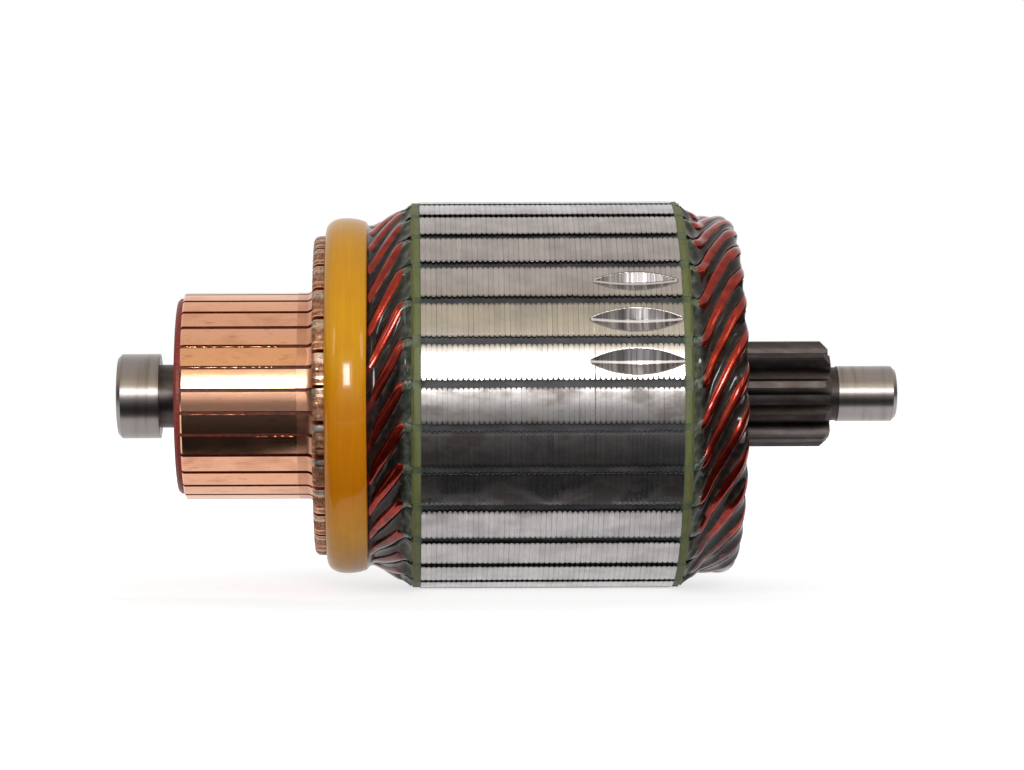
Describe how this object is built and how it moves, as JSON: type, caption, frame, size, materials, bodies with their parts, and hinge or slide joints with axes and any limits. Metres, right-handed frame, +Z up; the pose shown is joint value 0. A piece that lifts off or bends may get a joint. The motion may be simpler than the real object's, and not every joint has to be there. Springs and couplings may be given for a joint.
{
  "type": "starter motor armature",
  "caption": "Starter motor armature: a slotted sheet-steel core with a hairpin winding, a copper commutator with risers, and a shaft that ends in a small gear and a pilot journal.",
  "frame": {"origin": "on the shaft axis, at the middle of the bearing journal at the commutator end", "axes": "+X along the shaft from the commutator to the gear, +Z up, -Y faces the picture's camera"},
  "size_m": [0.1558, 0.0774, 0.0774],
  "materials": {
    "ground_steel": "ground journals, heat-darkened gear teeth",
    "lamination_steel": "ground sheet edges with dark stains",
    "green_fibre": "olive pressed fibre, varnished",
    "liner_sheet": "grey-green varnished sheet",
    "commutator_copper": "turned copper",
    "mica": "dark undercut mica",
    "moulded_resin": "red-brown moulding",
    "bush_steel": "plain steel",
    "varnished_band": "glossy ochre wound tape",
    "layer_sheet": "pale insulating sheet",
    "enamelled_wire": "deep red enamel under clear varnish"
  },
  "bodies": {
    "root": {"shaft": "ground_steel", "core_stack": "lamination_steel", "rear_end_plate": "green_fibre", "gear_end_plate": "green_fibre", "slot_liners": "liner_sheet", "commutator_bars": "commutator_copper", "mica_strips": "mica", "commutator_hub": "moulded_resin", "commutator_bush": "bush_steel", "lead_band": "varnished_band", "lead_sleeve": "layer_sheet", "nose_sleeve": "layer_sheet", "hairpin_01": "enamelled_wire", "hairpin_02": "enamelled_wire", "hairpin_03": "enamelled_wire", "hairpin_04": "enamelled_wire", "hairpin_05": "enamelled_wire", "hairpin_06": "enamelled_wire", "hairpin_07": "enamelled_wire", "hairpin_08": "enamelled_wire", "hairpin_09": "enamelled_wire", "hairpin_10": "enamelled_wire", "hairpin_11": "enamelled_wire", "hairpin_12": "enamelled_wire", "hairpin_13": "enamelled_wire", "hairpin_14": "enamelled_wire", "hairpin_15": "enamelled_wire", "hairpin_16": "enamelled_wire", "hairpin_17": "enamelled_wire", "hairpin_18": "enamelled_wire", "hairpin_19": "enamelled_wire", "hairpin_20": "enamelled_wire", "hairpin_21": "enamelled_wire", "hairpin_22": "enamelled_wire", "hairpin_23": "enamelled_wire", "hairpin_24": "enamelled_wire", "hairpin_25": "enamelled_wire", "hairpin_26": "enamelled_wire", "hairpin_27": "enamelled_wire", "hairpin_28": "enamelled_wire", "hairpin_29": "enamelled_wire"}
  },
  "joints": []
}
